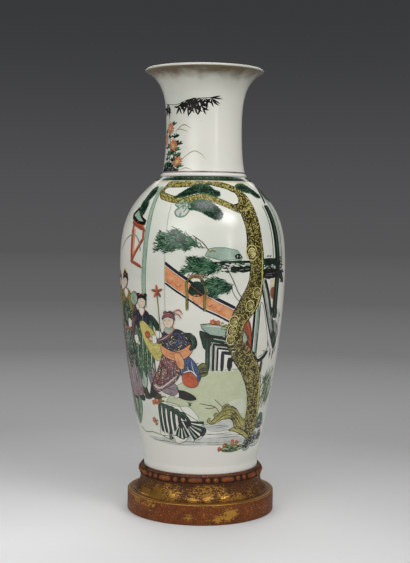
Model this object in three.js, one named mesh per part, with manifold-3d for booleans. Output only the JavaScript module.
// Tall baluster vase of enamelled porcelain, in a turned and gilded wood stand. Millimetres, +Z up.
// The origin is the centre of the stand's underside, on the surface that the stand rests on.
// The vase is one fired piece, open at the mouth. It rests on a loose felt disc in the stand's well,
// so it turns on the felt and lifts straight out. The stand is four turned members, one above the
// other, screwed together from below through the plinth and finished with a baize disc underneath.
import * as THREE from 'three';
import { mergeVertices } from 'three/addons/utils/BufferGeometryUtils.js';
import Module from 'manifold-3d';

// Vase: rises from the foot up, each from one level of the outline to the next.
const FOOT_RISE = 32.3;
const BODY_RISE = 271.7;
const SHOULDER_RISE = 126;
const RIDGE_RISE = 4.5;
const NECK_RISE = 64.5;
const FLARE_RISE = 81;

// Vase: outside radii at those levels. The foot is tucked in a little from the waist above it.
const WAIST_RADIUS = 81.4;
const FOOT_TUCK = 0.4;
const BELLY_RADIUS = 117.1;
const SHOULDER_END_RADIUS = 60.4;
const NECK_ROOT_RADIUS = 58.9;
const NECK_RADIUS = 53.35;
const RIM_RADIUS = 83.4;
const RIDGE_SWELL = 1.1;

// Vase: slope of the wall where it meets the lip, walls, foot ring and base.
const LIP_SLOPE_DEG = 26.5;
const LIP_THICKNESS = 4;
const BODY_WALL = 6.5;
const NECK_WALL = 5;
const BASE_THICKNESS = 9;
const BASE_RECESS = 8;
const FOOT_RING_WIDTH = 9;
const FOOT_BEVEL = 1.5;
const FLOOR_FILLET = 18;

// Vase: how far each curve of the outline holds the direction that it starts or ends with, as shares of
// its radial span (across) and of its axial span (up).
const BODY_START_PULL_UP = 0.036;
const BODY_END_PULL_UP = 0.428;
const SHOULDER_START_PULL_UP = 0.485;
const SHOULDER_END_PULL_ACROSS = 0.84;
const SHOULDER_END_PULL_UP = 0.3;
const NECK_START_PULL_ACROSS = 0.8;
const NECK_START_PULL_UP = 0.22;
const NECK_END_PULL_UP = 0.31;
const FLARE_START_PULL_UP = 0.546;
const FLARE_END_PULL_ACROSS = 0.84;

// Stand: heights of its members, from the surface up.
const PLINTH_LIFT = 0.5;
const PLINTH_HEIGHT = 27.9;
const CAVETTO_HEIGHT = 22.3;
const BEAD_RING_HEIGHT = 11;
const COLLAR_HEIGHT = 3.5;

// Stand: how far each member stands out from the one above it, its mouldings, and the well that the
// foot stands in.
const FOOT_CLEARANCE = 1.5;
const CAVETTO_RIM = 2.6;
const CAVETTO_FLARE = 9.5;
const PLINTH_SHELF = 9.15;
const PLINTH_EDGE_ROUND = 1.2;
const PLINTH_LINE_INSET = 2.7;
const PLINTH_LINE_WIDTH = 1.6;
const PLINTH_LINE_HEIGHT = 0.5;
const CAVETTO_FOOT_STEP = 1.3;
const BAND_THICKNESS = 3;
const FILLET_HEIGHT = 2;
const COLLAR_EDGE = 0.8;
const WELL_FLOOR = 10.6;

// Stand: the carved bead-and-reel row, two beads and a reel to each repeat.
const REPEATS = 12;
const BEAD_RADIUS = 4.5;
const BEAD_PITCH_DEG = 7.5;
const REEL_LENGTH = 19;
const REEL_RADIUS = 4.4;
const REEL_END_RADIUS = 3.4;
const REEL_PHASE_DEG = -4.5;

// Felt in the well, baize under the plinth.
const FELT_THICKNESS = 2;
const FELT_CLEARANCE = 1;
const BAIZE_MARGIN = 8.15;
const BAIZE_THICKNESS = 2.5;
const BAIZE_CLEARANCE = 0.3;

// Wood screws that hold the stand together.
const SCREW_COUNT = 4;
const SCREW_CIRCLE_RADIUS = 60;
const SCREW_RADIUS = 2.2;
const SCREW_HEAD_RADIUS = 4.6;
const SCREW_HEAD_HEIGHT = 3;
const SCREW_HEAD_SINK = 0.5;
const SCREW_BITE = 7.5;
const SCREW_TIP = 4;
const SCREW_SLOT_WIDTH = 1.2;
const SCREW_SLOT_DEPTH = 1.2;
const SCREW_CLEARANCE = 0.4;

// How finely the round shapes are cut into facets.
const VASE_SIDES = 48;
const STAND_SIDES = 48;
const SCREW_SIDES = 12;
const CARVING_SIDES = 8;
const BODY_STEPS = 9;
const NECK_STEPS = 5;
const INSIDE_STEPS = 7;
const SMALL_ROUND_STEPS = 4;

// Levels and radii that follow from the sizes above.
const MEMBER_TOP = PLINTH_LIFT + PLINTH_HEIGHT;
const CAVETTO_TOP = MEMBER_TOP + CAVETTO_HEIGHT;
const BEAD_RING_TOP = CAVETTO_TOP + BEAD_RING_HEIGHT;
const COLLAR_TOP = BEAD_RING_TOP + COLLAR_HEIGHT;
const WELL_LEVEL = MEMBER_TOP + WELL_FLOOR;
const FOOT_LEVEL = WELL_LEVEL + FELT_THICKNESS;
const WELL_RADIUS = WAIST_RADIUS + FOOT_CLEARANCE;
const CAVETTO_TOP_RADIUS = WELL_RADIUS + CAVETTO_RIM;
const CAVETTO_FOOT_RADIUS = CAVETTO_TOP_RADIUS + CAVETTO_FLARE;
const PLINTH_RADIUS = CAVETTO_FOOT_RADIUS + PLINTH_SHELF;
const BAIZE_RADIUS = PLINTH_RADIUS - BAIZE_MARGIN;
const VASE_HEIGHT = FOOT_RISE + BODY_RISE + SHOULDER_RISE + RIDGE_RISE + NECK_RISE + FLARE_RISE;

const wasm = await Module();
wasm.setup();

function point(radius, height) {
  return new THREE.Vector2(radius, height);
}

// Turns an outline of (radius, height) points about the Z axis.
function turned(outline, sides) {
  return new THREE.LatheGeometry(outline, sides).rotateX(Math.PI / 2);
}

// An outline that closes on itself, for a ring.
function closed(outline) {
  return [...outline, outline[0].clone()];
}

function solidOf(geometry) {
  const bare = geometry.clone();
  bare.deleteAttribute('normal');
  bare.deleteAttribute('uv');
  const merged = mergeVertices(bare, 1e-4);
  return new wasm.Manifold(new wasm.Mesh({
    numProp: 3,
    vertProperties: merged.attributes.position.array,
    triVerts: new Uint32Array(merged.index.array),
  }));
}

function geometryOf(solid) {
  const mesh = solid.getMesh();
  return new THREE.BufferGeometry()
    .setAttribute('position', new THREE.BufferAttribute(mesh.vertProperties, 3))
    .setIndex(new THREE.BufferAttribute(mesh.triVerts, 1));
}

function piece(name, geometry, material) {
  const mesh = new THREE.Mesh(geometry, material);
  mesh.name = name;
  return mesh;
}

// A cubic between two points of an outline. A pull is the length of the curve's handle at that end,
// as shares of the radial and of the axial span.
function sweep(start, end, startPull, endPull) {
  const span = end.clone().sub(start);
  return new THREE.CubicBezierCurve(
    start,
    start.clone().add(span.clone().multiply(startPull)),
    end.clone().sub(span.clone().multiply(endPull)),
    end,
  );
}

// Points of a curve of the outside moved inwards by a wall that changes evenly along it.
function insideOf(curve, steps, startWall, endWall) {
  const points = [];
  for (let i = 0; i <= steps; i += 1) {
    const t = i / steps;
    const tangent = curve.getTangent(t);
    const wall = THREE.MathUtils.lerp(startWall, endWall, t);
    points.push(curve.getPoint(t).add(point(-tangent.y, tangent.x).multiplyScalar(wall)));
  }
  return points;
}

// A round stretch of an outline, both angles in degrees from the radial direction.
function arc(centre, radiusAcross, radiusUp, startDeg, endDeg, steps) {
  const ellipse = new THREE.EllipseCurve(
    centre.x,
    centre.y,
    radiusAcross,
    radiusUp,
    THREE.MathUtils.degToRad(startDeg),
    THREE.MathUtils.degToRad(endDeg),
    endDeg < startDeg,
  );
  return ellipse.getPoints(steps);
}

// The vase: belly, shoulder, a small rolled ridge at the neck's root, waisted neck and flared mouth,
// with a wall of even thickness inside, a foot ring and a recessed base.
function makeVase() {
  const waist = point(WAIST_RADIUS, FOOT_RISE);
  const belly = point(BELLY_RADIUS, waist.y + BODY_RISE);
  const shoulderEnd = point(SHOULDER_END_RADIUS, belly.y + SHOULDER_RISE);
  const neckRoot = point(NECK_ROOT_RADIUS, shoulderEnd.y + RIDGE_RISE);
  const neck = point(NECK_RADIUS, neckRoot.y + NECK_RISE);
  const lipRadius = LIP_THICKNESS / 2;
  const lipCentre = point(RIM_RADIUS - lipRadius, VASE_HEIGHT - lipRadius);
  const lip = arc(
    lipCentre,
    lipRadius,
    lipRadius,
    LIP_SLOPE_DEG - 90,
    LIP_SLOPE_DEG + 90,
    SMALL_ROUND_STEPS,
  );
  const flareEnd = lip[0];

  const flareSpan = flareEnd.clone().sub(neck);
  const lipSteepness = Math.tan(THREE.MathUtils.degToRad(LIP_SLOPE_DEG));
  const flareEndPullUp = FLARE_END_PULL_ACROSS * lipSteepness * flareSpan.x / flareSpan.y;
  const shoulderEndPull = point(SHOULDER_END_PULL_ACROSS, SHOULDER_END_PULL_UP);
  const neckStartPull = point(NECK_START_PULL_ACROSS, NECK_START_PULL_UP);
  const flareEndPull = point(FLARE_END_PULL_ACROSS, flareEndPullUp);

  const body = sweep(waist, belly, point(0, BODY_START_PULL_UP), point(0, BODY_END_PULL_UP));
  const shoulder = sweep(belly, shoulderEnd, point(0, SHOULDER_START_PULL_UP), shoulderEndPull);
  const neckFoot = sweep(neckRoot, neck, neckStartPull, point(0, NECK_END_PULL_UP));
  const flare = sweep(neck, flareEnd, point(0, FLARE_START_PULL_UP), flareEndPull);
  const ridgeMiddle = shoulderEnd.clone().lerp(neckRoot, 0.5);
  const ridge = new THREE.QuadraticBezierCurve(
    shoulderEnd,
    ridgeMiddle.add(point(2 * RIDGE_SWELL, 0)),
    neckRoot,
  );

  const floorLevel = BASE_RECESS + BASE_THICKNESS;
  const innerWaist = point(WAIST_RADIUS - BODY_WALL, FOOT_RISE);
  const floorCorner = arc(
    point(innerWaist.x - FLOOR_FILLET, innerWaist.y),
    FLOOR_FILLET,
    innerWaist.y - floorLevel,
    0,
    -90,
    SMALL_ROUND_STEPS,
  );
  const footRadius = WAIST_RADIUS - FOOT_TUCK;
  const ringInside = footRadius - FOOT_RING_WIDTH;

  const outline = [
    point(0, BASE_RECESS),
    point(ringInside, BASE_RECESS),
    point(ringInside, FOOT_BEVEL),
    point(ringInside + FOOT_BEVEL, 0),
    point(footRadius - FOOT_BEVEL, 0),
    point(footRadius, FOOT_BEVEL),
    ...body.getPoints(BODY_STEPS),
    ...shoulder.getPoints(BODY_STEPS).slice(1),
    ...ridge.getPoints(SMALL_ROUND_STEPS).slice(1),
    ...neckFoot.getPoints(NECK_STEPS).slice(1),
    ...flare.getPoints(BODY_STEPS).slice(1),
    ...lip.slice(1),
    ...insideOf(flare, INSIDE_STEPS, NECK_WALL, LIP_THICKNESS).reverse().slice(1),
    ...insideOf(neckFoot, NECK_STEPS, NECK_WALL, NECK_WALL).reverse().slice(1),
    ...insideOf(shoulder, INSIDE_STEPS, BODY_WALL, NECK_WALL).reverse(),
    ...insideOf(body, INSIDE_STEPS, BODY_WALL, BODY_WALL).reverse().slice(1),
    ...floorCorner.slice(1),
    point(0, floorLevel),
  ];
  const porcelain = new THREE.MeshStandardMaterial({ color: 0xe6e4da, roughness: 0.12, metalness: 0 });
  return piece('vase', turned(outline, VASE_SIDES), porcelain);
}

// The felt disc that the foot ring stands on, loose in the well.
function makeFelt() {
  const radius = WELL_RADIUS - FELT_CLEARANCE;
  const outline = [
    point(0, 0),
    point(radius, 0),
    point(radius, FELT_THICKNESS),
    point(0, FELT_THICKNESS),
  ];
  const felt = new THREE.MeshStandardMaterial({ color: 0x2e3b2c, roughness: 1, metalness: 0 });
  return piece('well_felt', turned(outline, STAND_SIDES), felt);
}

// A plain upright post, for the holes and the bore.
function post(radius, bottom, top, sides) {
  const height = top - bottom;
  const geometry = new THREE.CylinderGeometry(radius, radius, height, sides);
  return geometry.rotateX(Math.PI / 2).translate(0, 0, bottom + height / 2);
}

// Outline of a screw from the underside of its head up, or of the hole that it sits in when grown.
function screwOutline(grown) {
  const headTop = SCREW_HEAD_HEIGHT + grown;
  const tipTop = screwLength() + grown;
  return [
    point(0, -grown),
    point(SCREW_HEAD_RADIUS + grown, -grown),
    point(SCREW_RADIUS + grown, headTop),
    point(SCREW_RADIUS + grown, tipTop - SCREW_TIP),
    point(0, tipTop),
  ];
}

function screwLength() {
  return MEMBER_TOP + SCREW_BITE - screwLevel();
}

function screwLevel() {
  return BAIZE_THICKNESS + SCREW_HEAD_SINK;
}

function screwPlace(index) {
  const angle = (index + 0.5) * 2 * Math.PI / SCREW_COUNT;
  return new THREE.Vector3(
    SCREW_CIRCLE_RADIUS * Math.cos(angle),
    SCREW_CIRCLE_RADIUS * Math.sin(angle),
    screwLevel(),
  );
}

// The holes for the screws in a turned member. Each hole also opens downwards past its head.
function drilled(geometry) {
  let solid = solidOf(geometry);
  for (let i = 0; i < SCREW_COUNT; i += 1) {
    const place = screwPlace(i);
    const hole = turned(screwOutline(SCREW_CLEARANCE), SCREW_SIDES).translate(place.x, place.y, place.z);
    const mouth = post(SCREW_HEAD_RADIUS + SCREW_CLEARANCE, 0, place.z, SCREW_SIDES);
    mouth.translate(place.x, place.y, 0);
    solid = solid.subtract(solidOf(hole)).subtract(solidOf(mouth));
  }
  return geometryOf(solid);
}

// Slotted countersunk screws, driven up through the plinth into the cavetto.
function makeScrews() {
  const steel = new THREE.MeshStandardMaterial({ color: 0x77756f, roughness: 0.4, metalness: 1 });
  const slot = new THREE.BoxGeometry(3 * SCREW_HEAD_RADIUS, SCREW_SLOT_WIDTH, 2 * SCREW_SLOT_DEPTH);
  const cut = solidOf(turned(screwOutline(0), SCREW_SIDES)).subtract(solidOf(slot));
  const screws = [];
  for (let i = 0; i < SCREW_COUNT; i += 1) {
    const screw = piece('screw_' + (i + 1), geometryOf(cut), steel.clone());
    screw.position.copy(screwPlace(i));
    screws.push(screw);
  }
  return screws;
}

// The plinth: a plain disc with a softened top edge, a thin raised line round it, and a shallow
// recess underneath for the baize.
function makePlinth() {
  const recessRadius = BAIZE_RADIUS + BAIZE_CLEARANCE;
  const lineMiddle = PLINTH_RADIUS - PLINTH_LINE_INSET;
  const edgeCentre = point(PLINTH_RADIUS - PLINTH_EDGE_ROUND, MEMBER_TOP - PLINTH_EDGE_ROUND);
  const line = arc(
    point(lineMiddle, MEMBER_TOP),
    PLINTH_LINE_WIDTH / 2,
    PLINTH_LINE_HEIGHT,
    0,
    180,
    SMALL_ROUND_STEPS,
  );
  const outline = [
    point(0, BAIZE_THICKNESS),
    point(recessRadius, BAIZE_THICKNESS),
    point(recessRadius, PLINTH_LIFT),
    point(PLINTH_RADIUS, PLINTH_LIFT),
    ...arc(edgeCentre, PLINTH_EDGE_ROUND, PLINTH_EDGE_ROUND, 0, 90, SMALL_ROUND_STEPS),
    ...line,
    point(0, MEMBER_TOP),
  ];
  const gilded = new THREE.MeshStandardMaterial({ color: 0x6e3a26, roughness: 0.5, metalness: 0 });
  return piece('plinth', drilled(turned(outline, STAND_SIDES)), gilded);
}

// The cavetto: a hollow-curved member with the well turned into its top.
function makeCavetto() {
  const curveBottom = MEMBER_TOP + CAVETTO_FOOT_STEP;
  const curve = arc(
    point(CAVETTO_FOOT_RADIUS, CAVETTO_TOP),
    CAVETTO_FOOT_RADIUS - CAVETTO_TOP_RADIUS,
    CAVETTO_TOP - curveBottom,
    270,
    180,
    INSIDE_STEPS,
  );
  const outline = [
    point(0, MEMBER_TOP),
    point(CAVETTO_FOOT_RADIUS, MEMBER_TOP),
    ...curve,
    point(WELL_RADIUS, CAVETTO_TOP),
    point(WELL_RADIUS, WELL_LEVEL),
    point(0, WELL_LEVEL),
  ];
  const gilded = new THREE.MeshStandardMaterial({ color: 0x7a5228, roughness: 0.45, metalness: 0.2 });
  return piece('cavetto', drilled(turned(outline, STAND_SIDES)), gilded);
}

// The bead-and-reel ring: a band with a thin fillet below, and beads and reels carved round it.
function makeBeadRing() {
  const bandRadius = WELL_RADIUS + BAND_THICKNESS;
  const filletCentre = point(bandRadius, CAVETTO_TOP + FILLET_HEIGHT / 2);
  const band = closed([
    point(WELL_RADIUS, CAVETTO_TOP),
    ...arc(filletCentre, FILLET_HEIGHT / 2, FILLET_HEIGHT / 2, -90, 90, SMALL_ROUND_STEPS),
    point(bandRadius, BEAD_RING_TOP),
    point(WELL_RADIUS, BEAD_RING_TOP),
  ]);
  const rowLevel = CAVETTO_TOP + FILLET_HEIGHT + BEAD_RADIUS;
  const rowRadius = WELL_RADIUS + BAND_THICKNESS / 2;
  const bead = new THREE.SphereGeometry(BEAD_RADIUS, CARVING_SIDES, CARVING_SIDES - 2);
  const reelOutline = [
    point(0, -REEL_LENGTH / 2),
    point(REEL_END_RADIUS, -REEL_LENGTH / 2),
    point(REEL_RADIUS, -REEL_LENGTH / 4),
    point(REEL_RADIUS, REEL_LENGTH / 4),
    point(REEL_END_RADIUS, REEL_LENGTH / 2),
    point(0, REEL_LENGTH / 2),
  ];
  const reel = new THREE.LatheGeometry(reelOutline, CARVING_SIDES);

  // Places a carved shape at an angle seen from above, measured from the front (-Y) towards +X.
  function placed(shape, degrees) {
    const angle = THREE.MathUtils.degToRad(degrees - 90);
    return solidOf(shape.clone().translate(rowRadius, 0, 0).rotateZ(angle).translate(0, 0, rowLevel));
  }

  let carved = solidOf(turned(band, STAND_SIDES));
  for (let i = 0; i < REPEATS; i += 1) {
    const reelAngle = REEL_PHASE_DEG + i * 360 / REPEATS;
    const gapAngle = reelAngle + 180 / REPEATS;
    carved = carved.add(placed(reel, reelAngle));
    carved = carved.add(placed(bead, gapAngle - BEAD_PITCH_DEG / 2));
    carved = carved.add(placed(bead, gapAngle + BEAD_PITCH_DEG / 2));
  }
  const bore = post(WELL_RADIUS, CAVETTO_TOP - BEAD_RADIUS, BEAD_RING_TOP + BEAD_RADIUS, STAND_SIDES);
  const seat = post(2 * bandRadius, BEAD_RING_TOP, BEAD_RING_TOP + 2 * BEAD_RADIUS, STAND_SIDES);
  carved = carved.subtract(solidOf(bore.rotateZ(Math.PI / 2))).subtract(solidOf(seat));
  const gilded = new THREE.MeshStandardMaterial({ color: 0x6a3520, roughness: 0.45, metalness: 0 });
  return piece('bead_and_reel_ring', geometryOf(carved), gilded);
}

// The collar: a low ring that leans in towards the vase and hides the gap round its foot.
function makeCollar() {
  const bottomRadius = WELL_RADIUS + BAND_THICKNESS;
  const outline = closed([
    point(WELL_RADIUS, BEAD_RING_TOP),
    point(bottomRadius, BEAD_RING_TOP),
    point(bottomRadius, BEAD_RING_TOP + COLLAR_EDGE),
    point(WELL_RADIUS + COLLAR_EDGE, COLLAR_TOP),
    point(WELL_RADIUS, COLLAR_TOP),
  ]);
  const gilded = new THREE.MeshStandardMaterial({ color: 0x5e3020, roughness: 0.5, metalness: 0 });
  return piece('collar_ring', turned(outline, STAND_SIDES), gilded);
}

// The baize disc that the stand rests on.
function makeBaize() {
  const outline = [
    point(0, 0),
    point(BAIZE_RADIUS, 0),
    point(BAIZE_RADIUS, BAIZE_THICKNESS),
    point(0, BAIZE_THICKNESS),
  ];
  const baize = new THREE.MeshStandardMaterial({ color: 0x233a28, roughness: 1, metalness: 0 });
  return piece('base_baize', turned(outline, STAND_SIDES), baize);
}

const stand = new THREE.Group();
stand.add(makeBaize(), makePlinth(), makeCavetto(), makeBeadRing(), makeCollar(), ...makeScrews());

const felt = makeFelt();
felt.position.z = WELL_LEVEL;

const vase = makeVase();
vase.position.z = FOOT_LEVEL;

const object = new THREE.Group();
object.add(stand, felt, vase);
export default object;
